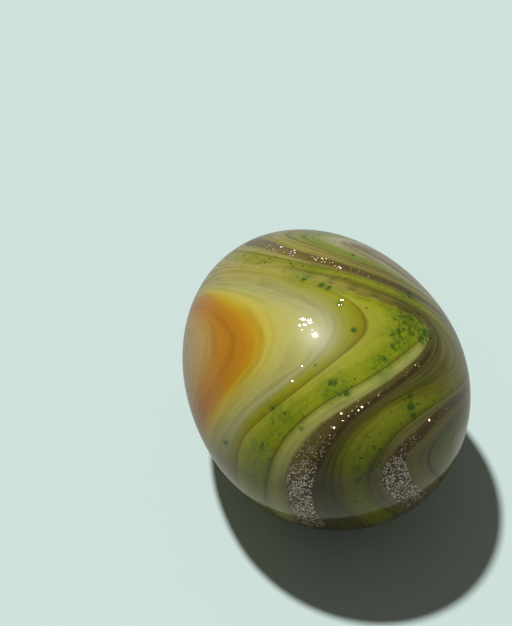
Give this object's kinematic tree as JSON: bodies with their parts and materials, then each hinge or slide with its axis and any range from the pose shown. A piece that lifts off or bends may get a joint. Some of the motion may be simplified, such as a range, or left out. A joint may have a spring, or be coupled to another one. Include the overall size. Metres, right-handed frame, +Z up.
{
  "type": "glass marble",
  "caption": "Handmade glass marble of swirled opaque glass, slightly egg shaped, lying on its side on a flat surface.",
  "frame": {"origin": "under the middle of the marble's box, on the surface that it lies on", "axes": "+Y along the marble's length towards its narrow end, +Z up, +X to the right as seen from the blunt end"},
  "size_m": [0.0238, 0.0294, 0.0233],
  "materials": {
    "swirled_glass": "fire-polished gloss"
  },
  "bodies": {
    "root": {"marble": "swirled_glass"}
  },
  "joints": []
}
